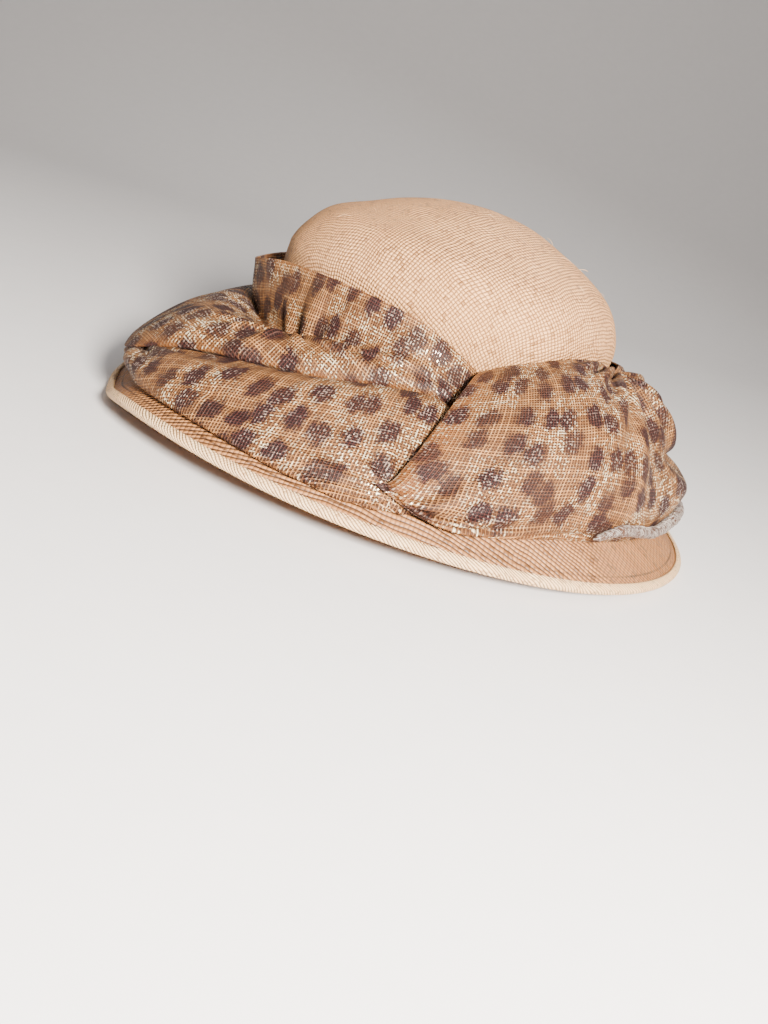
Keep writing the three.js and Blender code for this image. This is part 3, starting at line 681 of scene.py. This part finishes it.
def cloth_grid(table, along, across):
    """A fine grid of cloth through a scarf table, with each point's turn in degrees and share across."""
    t = np.linspace(0, 1, along)
    s = np.linspace(0, 1, across)[None, :]
    upper_turns, lower_turns, over_rows, rise_rows = zip(*table)
    upper = through(upper_turns, t)[:, None]
    lower = through(lower_turns, t)[:, None]
    over_folds = np.stack([through(fold, t) for fold in zip(*over_rows)])
    rise_folds = np.stack([through(fold, t) for fold in zip(*rise_rows)])
    over = through(over_folds, s[0]).T
    rise = through(rise_folds, s[0]).T
    turn = upper + (lower - upper) * s
    return drape_point(np.radians(turn), over, rise), turn, s + 0 * turn


def cloth_uv(grid):
    """Millimetres along and across the cloth, so that its threads keep their pitch."""
    down = np.linalg.norm(np.diff(grid, axis=1), axis=2)
    along = np.linalg.norm(np.diff(grid, axis=0), axis=2).mean(1)
    u = np.concatenate([[0], np.cumsum(along)])[:, None] + 0 * grid[..., 0]
    v = np.concatenate([np.zeros((len(grid), 1)), np.cumsum(down, 1)], 1)
    return np.stack([u, v], -1)


def cloth_normals(grid):
    """Unit normals of a cloth's grid, turned away from the hat's middle."""
    normal = np.cross(np.gradient(grid, axis=0), np.gradient(grid, axis=1))
    normal /= np.linalg.norm(normal, axis=2, keepdims=True) + 1e-9
    centre = np.array([0.0, 0.0, -20.0])
    outward = np.sign((normal * (grid - centre)).sum((1, 2)).mean())
    return normal * outward


def scarf_material():
    """Glittering mesh: gold threads on brown, with painted cream glints; dark spots with painted silver
    glints.
    """
    n = Nodes("printed mesh")
    uv = n.add("ShaderNodeUVMap", uv_map="cloth").outputs[0]
    counted = n.add("ShaderNodeMapping", {0: uv, "Scale": (UV_UNIT / THREAD_PITCH,) * 3}).outputs[0]
    parts = n.add("ShaderNodeSeparateXYZ", {0: counted})
    waver = n.times(n.minus(n.noise(counted, 0.05, 1.0), 0.5), 3.0)
    across = n.plus(parts.outputs[0], waver)
    along = n.minus(parts.outputs[1], waver)
    on_warp_line = n.math("ABSOLUTE", n.math("COSINE", n.times(across, math.pi)))
    on_weft_line = n.math("ABSOLUTE", n.math("COSINE", n.times(along, math.pi)))
    warp = n.spread(on_warp_line, 0.60, 0.97)
    weft = n.spread(on_weft_line, 0.64, 0.98)
    on_warp = n.add("ShaderNodeCombineXYZ", {0: n.times(n.math("ROUND", across), THREADS_APART),
                                             1: n.times(along, GLINT_PACE)})
    on_weft = n.add("ShaderNodeCombineXYZ", {0: n.times(across, GLINT_PACE),
                                             1: n.times(n.math("ROUND", along), THREADS_APART)})
    # Painted glints: a thread turns cream where noise along it says it catches the light.
    lit_warp = n.times(n.spread(on_warp_line, 0.56, 0.92),
                       n.spread(n.noise(on_warp.outputs[0], 1.0, 1.0, dims="2D"), 0.54, 0.66))
    lit_weft = n.times(n.spread(on_weft_line, 0.60, 0.94),
                       n.spread(n.noise(on_weft.outputs[0], 1.0, 1.0, dims="2D"), 0.55, 0.68))
    warp_tone = n.chance(n.math("ROUND", across))
    weft_tone = n.chance(n.math("ROUND", n.plus(along, 311.0)))
    tone = n.times(n.plus(warp_tone, weft_tone), 0.5)
    threads = n.math("MAXIMUM", n.times(warp, n.spread(warp_tone, 0.0, 1.0, 0.55, 1.0)),
                     n.times(weft, n.spread(weft_tone, 0.0, 1.0, 0.4, 0.95)))
    spots = (SPOTS_ALONG / SPOT_SPACING, SPOTS_ACROSS / SPOT_SPACING, 1)
    place = n.add("ShaderNodeMapping", {0: uv, "Scale": spots}).outputs[0]
    # Painted highlight patches: broad areas where the painted glints are strongest, as on cloth facing the
    # lamp.
    glint_patches = n.spread(n.noise(place, 0.55, 3.0, 0.6), 0.42, 0.60)
    glint_strength = n.plus(n.times(glint_patches, 0.90), 0.10)
    painted_glint = n.times(n.math("MAXIMUM", lit_warp, lit_weft), glint_strength)
    threads = n.math("MAXIMUM", threads, painted_glint)
    bent = n.add("ShaderNodeTexNoise", {"Vector": place, "Scale": 1.6, "Detail": 2.0})
    shift = n.add("ShaderNodeVectorMath", {0: bent.outputs[1], 1: (0.5, 0.5, 0.5)}, operation="SUBTRACT")
    moved = n.add("ShaderNodeVectorMath", {0: shift.outputs[0], 1: (0.5, 0.5, 0.0), 2: place},
                  operation="MULTIPLY_ADD").outputs[0]
    nearest = n.add("ShaderNodeTexVoronoi", {"Vector": moved, "Scale": 1.0, "Randomness": 0.68},
                    voronoi_dimensions="2D")
    ragged = n.times(n.minus(n.noise(place, 6.0, 3.0, 0.65), 0.5), 0.46)
    spot = n.spread(n.plus(nearest.outputs["Distance"], ragged), 0.47, 0.25)
    band = n.add("ShaderNodeAttribute", attribute_name="band").outputs["Fac"]
    # The ground is partly painted shade, for the dark behind the open mesh.
    ground = n.blend(n.noise(place, 0.9, 3.0), GROUND_DARK, GROUND_LIGHT)
    ground = n.blend(n.times(band, 0.8), ground, SEAM_GOLD)
    gold = n.blend(tone, THREAD_DARK, THREAD_LIGHT)
    # Painted highlight: lit threads are blended towards the cream glint colour.
    gold = n.blend(painted_glint, gold, THREAD_GLINT)
    shown = n.times(threads, n.minus(1.0, n.times(band, 0.55)))
    weave = n.blend(shown, ground, gold)
    ink = n.blend(n.times(threads, 0.7), INK_DARK, INK_LIGHT)
    # Painted glints on the spots, in a silvery colour.
    ink = n.blend(n.times(n.times(threads, painted_glint), 0.42), ink, INK_GLINT)
    depth = n.spread(n.noise(place, 0.6, 1.0), 0.3, 0.6, 0.80, 1.0)
    colour = n.blend(n.times(spot, depth), weave, ink)
    rough = n.spread(painted_glint, 0.0, 1.0, 0.62, 0.28)
    glint = n.times(painted_glint, 0.35)
    return n.finish(colour, rough, threads, relief=0.0009, gloss=0.3, Metallic=glint)


def fan_folds(turn, share, centre, stretch, count, reach, depth, phase=0.0):
    """Pleats that spread from a pinch: deepest a little way out from it, and gone past reach degrees."""
    x = turn - centre[0]
    y = (share - centre[1]) * stretch
    away = np.hypot(x, y)
    angle = np.arctan2(y, x)
    ridge = np.cos(count * angle + phase + 0.7 * np.sin(2.3 * angle + phase))
    fade = np.clip(away / 6, 0, 1) * np.exp(-((away / reach) ** 2))
    return depth * fade * (0.5 * ridge + 0.5 * np.abs(ridge) ** 0.7 * np.sign(ridge))


def ripple(turn, share, seed, size, depth):
    """Small uneven dents of stiff cloth, from a few fixed waves."""
    chance = np.random.default_rng(seed)
    total = 0 * turn
    for _ in range(RIPPLE_WAVES):
        a, b = chance.normal(0, 1, 2) / size
        total = total + np.sin(a * turn + 55 * b * share + chance.uniform(0, 6.3))
    return depth * total / 3


printed_mesh = scarf_material()


def scarf_piece(name, node, table, along, across, shape, band):
    """One cloth of the scarf: its grid, dents and folds and its material, with the CAD part of its node
    hidden.
    """
    grid, turn, share = cloth_grid(table, along, across)
    uv = cloth_uv(grid)
    dents = shape(turn, share)
    rim = np.clip(np.minimum(share, 1 - share) * 12, 0, 1)
    grid = grid + cloth_normals(grid) * (dents * rim)[..., None]
    piece = wall_piece(name, grid, SEEN_WALL, closed=False, uv=uv, band=band(turn, share))
    piece.data.materials.append(printed_mesh)
    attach(piece, "root")
    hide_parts(node)
    return piece


def near(value, centre, width):
    """1 at the centre, fading smoothly to nothing on both sides."""
    return np.exp(-(((value - centre) / width) ** 2))


def wrap_dents(turn, share):
    """Folds that run out over the roll's rounded end, soft waves along it, and slack above the tuck."""
    pulls = fan_folds(turn, share, centre=(44, 0.46), stretch=62, count=12, reach=27, depth=2.3)
    rolls = 1.1 * np.sin(31 * share + 0.05 * turn + 0.6 * np.sin(turn / 9))
    rolls = rolls * near(share, 0.62, 0.17) * near(turn, 32, 30)
    slack = 0.9 * np.sin(turn / 6.5 + 5.5 * share) * near(share, 0.16, 0.12)
    dents = pulls + rolls + slack + ripple(turn, share, seed=4, size=9, depth=0.6)
    return np.maximum(dents, -0.5)


def wrap_band(turn, share):
    """Where the upper wrap shows its golden-brown seam: in the tuck, the low crease and the top."""
    tuck = near(share, 0.30, 0.035) * (turn > -60) * (turn < 68)
    crease = near(share, 0.88, 0.06)
    return np.clip(0.9 * tuck + crease + near(share, 0.0, 0.012), 0, 1)


wrap = scarf_piece("scarf_wrap_cloth", "scarf_upper_wrap", UPPER_WRAP, 300, 110, wrap_dents, wrap_band)

# ---------------------------------------------------------------------------- scarf, lower drape
# Under the roll the same mesh falls in a loose fold over the front and left of the brim. Its end is
# pulled into a few diagonal creases at the front.
LOWER_DRAPE = [
    (-152, -152, (0.34, 0.38, 0.44, 0.50, 0.55, 0.58, 0.57),
     (0.040, 0.060, 0.065, 0.060, 0.045, 0.028, 0.024)),
    (-130, -130, (0.47, 0.51, 0.60, 0.69, 0.76, 0.79, 0.76),
     (0.090, 0.130, 0.140, 0.125, 0.090, 0.045, 0.024)),
    (-90, -90, (0.50, 0.55, 0.65, 0.75, 0.83, 0.86, 0.83),
     (0.090, 0.130, 0.145, 0.135, 0.095, 0.045, 0.024)),
    (-50, -50, (0.55, 0.60, 0.70, 0.79, 0.86, 0.88, 0.85),
     (0.080, 0.115, 0.135, 0.130, 0.095, 0.045, 0.024)),
    (-24, -24, (0.66, 0.72, 0.80, 0.87, 0.90, 0.88, 0.84),
     (0.075, 0.110, 0.135, 0.130, 0.095, 0.045, 0.024)),
    (-4, -4, (0.80, 0.87, 0.93, 0.95, 0.92, 0.87, 0.82),
     (0.120, 0.150, 0.165, 0.145, 0.100, 0.045, 0.024)),
    (10, 10, (0.82, 0.89, 0.95, 0.96, 0.93, 0.87, 0.82),
     (0.140, 0.170, 0.190, 0.170, 0.115, 0.045, 0.006)),
    (21, 21, (0.78, 0.85, 0.92, 0.955, 0.93, 0.88, 0.85),
     (0.135, 0.175, 0.200, 0.185, 0.120, 0.045, 0.006)),
    (33, 33, (0.68, 0.74, 0.83, 0.90, 0.93, 0.91, 0.87),
     (0.105, 0.160, 0.185, 0.165, 0.115, 0.050, 0.006)),
    (46, 46, (0.56, 0.60, 0.71, 0.81, 0.89, 0.91, 0.87),
     (0.100, 0.160, 0.195, 0.175, 0.115, 0.045, 0.006)),
    (60, 60, (0.42, 0.46, 0.59, 0.73, 0.86, 0.91, 0.88),
     (0.095, 0.160, 0.205, 0.180, 0.115, 0.045, 0.006)),
    (75, 75, (0.30, 0.34, 0.50, 0.67, 0.83, 0.91, 0.90),
     (0.115, 0.190, 0.220, 0.190, 0.120, 0.045, 0.006)),
    (86, 84, (0.255, 0.29, 0.44, 0.60, 0.76, 0.86, 0.86),
     (0.130, 0.200, 0.220, 0.185, 0.115, 0.040, 0.006)),
    (96, 94, (0.22, 0.26, 0.38, 0.51, 0.63, 0.73, 0.76),
     (0.080, 0.110, 0.130, 0.115, 0.070, 0.025, 0.006)),
    (106, 105, (0.20, 0.25, 0.35, 0.46, 0.57, 0.66, 0.71),
     (0.030, 0.050, 0.060, 0.055, 0.035, 0.020, 0.006)),
]


def drape_dents(turn, share):
    """Diagonal pulls at the front end, a long soft crease low down, and gathers towards the puff."""
    pulls = fan_folds(turn, share, centre=(19, 0.10), stretch=48, count=9, reach=26, depth=1.9)
    gathers = fan_folds(turn, share, centre=(84, 0.75), stretch=50, count=13, reach=20, depth=1.2,
                        phase=0.9)
    crease = -1.5 * near(share, 0.60 + 0.0035 * (turn - 50), 0.03) * near(turn, 52, 24)
    dents = pulls + gathers + crease + ripple(turn, share, seed=8, size=10, depth=0.75)
    return np.maximum(dents, -1.2)


def drape_band(turn, share):
    """Where the drape shows its seam: along its upper edge, and fainter along its lower one."""
    return np.clip(near(share, 0.0, 0.08) + 0.5 * near(share, 1.0, 0.03), 0, 1)


drape = scarf_piece("scarf_drape_cloth", "scarf_lower_drape", LOWER_DRAPE, 300, 80, drape_dents, drape_band)

# ------------------------------------------------------------------------------ scarf, back puff
# The scarf's end is gathered over both into a full puff round the left and the back. It is pinched in
# at the crown near the back, and folds fan down from the pinch.
BACK_PUFF = [
    (95, 80, (0.10, 0.17, 0.28, 0.42, 0.58, 0.74, 0.87, 0.88),
     (0.300, 0.295, 0.285, 0.280, 0.258, 0.215, 0.155, 0.120)),
    (102, 90, (0.05, 0.19, 0.35, 0.51, 0.66, 0.79, 0.89, 0.88),
     (0.345, 0.375, 0.365, 0.340, 0.285, 0.205, 0.090, 0.035)),
    (110, 101, (0.05, 0.21, 0.39, 0.55, 0.68, 0.78, 0.83, 0.81),
     (0.410, 0.445, 0.440, 0.405, 0.330, 0.215, 0.075, 0)),
    (121, 114, (0.05, 0.22, 0.42, 0.58, 0.70, 0.76, 0.77, 0.74),
     (0.480, 0.515, 0.510, 0.460, 0.365, 0.235, 0.080, 0)),
    (132, 127, (0.05, 0.20, 0.39, 0.55, 0.67, 0.74, 0.755, 0.72),
     (0.505, 0.530, 0.515, 0.465, 0.370, 0.250, 0.095, 0)),
    (140, 137, (0.08, 0.18, 0.33, 0.49, 0.63, 0.72, 0.755, 0.72),
     (0.475, 0.495, 0.490, 0.450, 0.370, 0.275, 0.130, 0)),
    (148, 147, (0.06, 0.18, 0.33, 0.47, 0.58, 0.71, 0.765, 0.72),
     (0.440, 0.490, 0.490, 0.440, 0.365, 0.315, 0.185, 0)),
    (158, 158, (0.04, 0.28, 0.45, 0.57, 0.59, 0.79, 0.80, 0.74),
     (0.480, 0.505, 0.490, 0.415, 0.325, 0.345, 0.235, 0)),
    (171, 171, (0.04, 0.27, 0.44, 0.55, 0.59, 0.76, 0.78, 0.73),
     (0.465, 0.485, 0.460, 0.395, 0.315, 0.320, 0.205, 0)),
    (186, 186, (0.04, 0.23, 0.39, 0.51, 0.59, 0.71, 0.75, 0.71),
     (0.440, 0.440, 0.410, 0.350, 0.290, 0.260, 0.160, 0)),
    (201, 201, (0.04, 0.19, 0.33, 0.46, 0.57, 0.67, 0.73, 0.71),
     (0.410, 0.385, 0.350, 0.300, 0.250, 0.205, 0.125, 0)),
    (218, 215, (0.07, 0.12, 0.20, 0.31, 0.44, 0.57, 0.70, 0.80),
     (0.370, 0.300, 0.245, 0.215, 0.185, 0.165, 0.130, 0.040)),
]


def puff_dents(turn, share):
    """Folds that fan down from the pinch, gathers from the seam's lower end, and a short crease on top."""
    pinch = fan_folds(turn, share, centre=(147, 0.0), stretch=78, count=17, reach=48, depth=3.7)
    pinch = pinch * np.clip((turn - 118) / 12, 0, 1)
    gathers = fan_folds(turn, share, centre=(81, 0.98), stretch=90, count=19, reach=36, depth=2.1,
                        phase=0.6)
    crease = -1.6 * near(share, 0.17, 0.022) * near(turn, 126, 8)
    back = 1.2 * np.sin(turn / 3.3 + 3 * share) * np.clip((turn - 165) / 20, 0, 1) * (1 - share)
    dents = pinch + gathers + crease + back + ripple(turn, share, seed=15, size=9, depth=0.7)
    return np.maximum(dents, -1.8)


def puff_band(turn, share):
    """Where the puff shows its seam: at its slanting start, its top and the front of its foot."""
    start = 95 - 15 * share
    seam = near(turn, start + 1.5, 2.8)
    foot = 0.35 * near(share, 0.95, 0.05) * (turn < 125)
    return np.clip(seam + 0.5 * near(share, 0.0, 0.02) + foot, 0, 1)


puff = scarf_piece("scarf_puff_cloth", "scarf_back_puff", BACK_PUFF, 320, 160, puff_dents, puff_band)

# ---------------------------------------------------------------------------- scarf, rolled hem
# The scarf's edge is rolled and whipped with silvery thread. It curls round the puff's foot at the
# back, a little above the brim, and thins out towards both ends.
HEM_RADIUS = 3.1
HEM_DARK = (0.075, 0.030, 0.014, 1)
HEM_SILVER = (1.0, 0.90, 0.80, 1)
# Each row is a point of the roll: turn in degrees, out from the crown as a share of the brim, up from
# the brim as a share of the crown, and thickness as a share of the hem's radius.
ROLLED_HEM = [
    (121, 0.813, 0.090, 0.45),
    (127, 0.813, 0.135, 0.9),
    (134, 0.803, 0.120, 1.0),
    (141, 0.803, 0.100, 1.0),
    (149, 0.813, 0.120, 1.0),
    (157, 0.833, 0.165, 1.05),
    (167, 0.833, 0.165, 1.0),
    (176, 0.813, 0.100, 0.9),
    (184, 0.793, 0.055, 0.45),
]


def hem_rings(steps, sides):
    """Rings of points along the roll, and their UV."""
    t = np.linspace(0, 1, steps)
    turn, over, rise, thick = (through(column, t) for column in zip(*ROLLED_HEM))
    line = drape_point(np.radians(turn), over, rise)
    line[:, 2] += HEM_RADIUS * thick - CLOTH_WALL / 2
    ahead = np.gradient(line, axis=0)
    ahead /= np.linalg.norm(ahead, axis=1, keepdims=True)
    side = np.cross(ahead, [0, 0, 1.0])
    side /= np.linalg.norm(side, axis=1, keepdims=True)
    up = np.cross(side, ahead)
    angle = np.linspace(0, 2 * np.pi, sides, endpoint=False)
    steps_along = np.linalg.norm(np.diff(line, axis=0), axis=1)
    length = np.concatenate([[0], np.cumsum(steps_along)])
    twist = 1 + 0.06 * np.sin(length[:, None] * 1.1 + 2 * angle[None, :])
    twist = twist + 0.05 * np.sin(length[:, None] * 0.35)
    ends = np.clip(np.minimum(t, 1 - t) * 40, 0.25, 1)[:, None]
    radius = (HEM_RADIUS * thick)[:, None] * twist * ends
    turned = np.cos(angle)[None, :, None] * side[:, None] + np.sin(angle)[None, :, None] * up[:, None]
    ring = line[:, None] + radius[..., None] * turned
    uv = np.stack(np.broadcast_arrays(length[:, None], angle[None, :] * HEM_RADIUS), -1)
    return ring, uv


rings, hem_uv = hem_rings(220, 20)
steps, sides = rings.shape[:2]
faces = tube_faces(steps, sides, closed=False)
faces += [list(range(sides)), list(range((steps - 1) * sides, steps * sides))]
hem = new_piece("scarf_hem_roll", rings, faces, hem_uv)
face_outward(hem)
n = Nodes("hem thread")
parts = n.add("ShaderNodeSeparateXYZ", {0: n.add("ShaderNodeUVMap", uv_map="cloth").outputs[0]})
wound = n.plus(n.times(parts.outputs[0], 300.0), n.times(parts.outputs[1], 190.0))
whip = n.spread(n.math("ABSOLUTE", n.math("SINE", wound)), 0.35, 0.9)
turns = n.chance(n.math("FLOOR", n.math("DIVIDE", wound, math.pi)))
grain = n.spread(n.noise(n.add("ShaderNodeTexCoord").outputs["Object"], 520.0, 2.0, 0.7), 0.42, 0.58)
lace = n.times(whip, n.times(grain, n.spread(turns, 0.0, 1.0, 0.35, 1.0)))
silver = n.blend(lace, HEM_DARK, HEM_SILVER)
shine = n.times(lace, 0.7)
hem_thread = n.finish(silver, rough=0.36, height=lace, relief=0.0009, gloss=0.5, sheen=0.05, Metallic=shine)
hem.data.materials.append(hem_thread)
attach(hem, "root")
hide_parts("scarf_rolled_hem")

# ------------------------------------------------------------------------- floor, light, camera
# A pale floor that curves up into a backdrop, a small strong key light on the camera's side, a wide
# weak fill beside it and a wide light from behind, and the camera. All of it is in metres.
FLOOR_FRONT = 4.0
FLOOR_BACK = -0.9
FLOOR_SIDE = 7.0
BEND_RADIUS = 1.6
BACKDROP_TOP = 6.0
ROOM_LIGHT = 0.20
FOCAL_PIXELS = 995.0
PICTURE_HEIGHT = 1024.0
SENSOR_WIDTH = 36.0
bend = [(BEND_RADIUS * math.sin(a), BEND_RADIUS * (1 - math.cos(a)))
        for a in np.linspace(0, math.pi / 2, 33)]
profile = [(FLOOR_FRONT, 0.0), (FLOOR_BACK, 0.0)] + [(FLOOR_BACK - out, rise) for out, rise in bend[1:]]
profile += [(FLOOR_BACK - BEND_RADIUS, BACKDROP_TOP)]
sides = [(x, y, z) for y in (-FLOOR_SIDE, FLOOR_SIDE) for x, z in profile]
spans = len(profile)
cove = bpy.data.meshes.new("floor")
cove.from_pydata(sides, [], [(i, i + 1, spans + i + 1, spans + i) for i in range(spans - 1)])
cove.polygons.foreach_set("use_smooth", [True] * len(cove.polygons))
floor = bpy.data.objects.new("floor", cove)
bpy.context.scene.collection.objects.link(floor)
n = Nodes("pale floor")
fine = n.noise(n.add("ShaderNodeTexCoord").outputs["Object"], 60.0, 4.0)
paint = n.blend(fine, (0.80, 0.77, 0.75, 1), (0.84, 0.81, 0.79, 1))
floor.data.materials.append(n.finish(paint, rough=0.85, height=fine, relief=0.0001, gloss=0.1))

world = bpy.data.worlds.new("soft room")
bpy.context.scene.world = world
world.use_nodes = True
background = world.node_tree.nodes["Background"]
background.inputs[0].default_value = (0.93, 0.92, 0.95, 1)
background.inputs[1].default_value = ROOM_LIGHT


def area_light(name, place, target, width, power, colour):
    """A round lamp that faces its target; its power is in watts."""
    light = bpy.data.lights.new(name, "AREA")
    light.shape = "DISK"
    light.size = width
    light.energy = power
    light.color = colour
    lamp = bpy.data.objects.new(name, light)
    bpy.context.scene.collection.objects.link(lamp)
    lamp.location = place
    lamp.rotation_euler = (Vector(target) - Vector(place)).to_track_quat("-Z", "Y").to_euler()


area_light("key", (0.92, 0.14, 0.42), (0.02, 0.0, 0.07), 0.20, 52.0, (1.0, 0.95, 0.89))
area_light("fill", (0.9, -0.2, 0.6), (0, 0, 0.06), 0.8, 3.0, (0.95, 0.96, 1.0))
area_light("back", (-0.95, 0.45, 1.0), (0, 0, 0.06), 0.9, 5.0, (1.0, 0.98, 0.95))

camera = bpy.data.objects.new("camera", bpy.data.cameras.new("camera"))
bpy.context.scene.collection.objects.link(camera)
right = (0.05645, 0.95123, 0.30328)
up = (-0.37813, -0.26077, 0.88827)
ahead = (-0.92403, 0.16482, -0.34497)
turned = Matrix((right, up, tuple(-a for a in ahead))).transposed().to_4x4()
camera.matrix_world = Matrix.Translation((0.58242, -0.10335, 0.18005)) @ turned
camera.data.sensor_width = SENSOR_WIDTH
camera.data.lens = FOCAL_PIXELS * SENSOR_WIDTH / PICTURE_HEIGHT
camera.data.clip_start = 0.01
bpy.context.scene.camera = camera
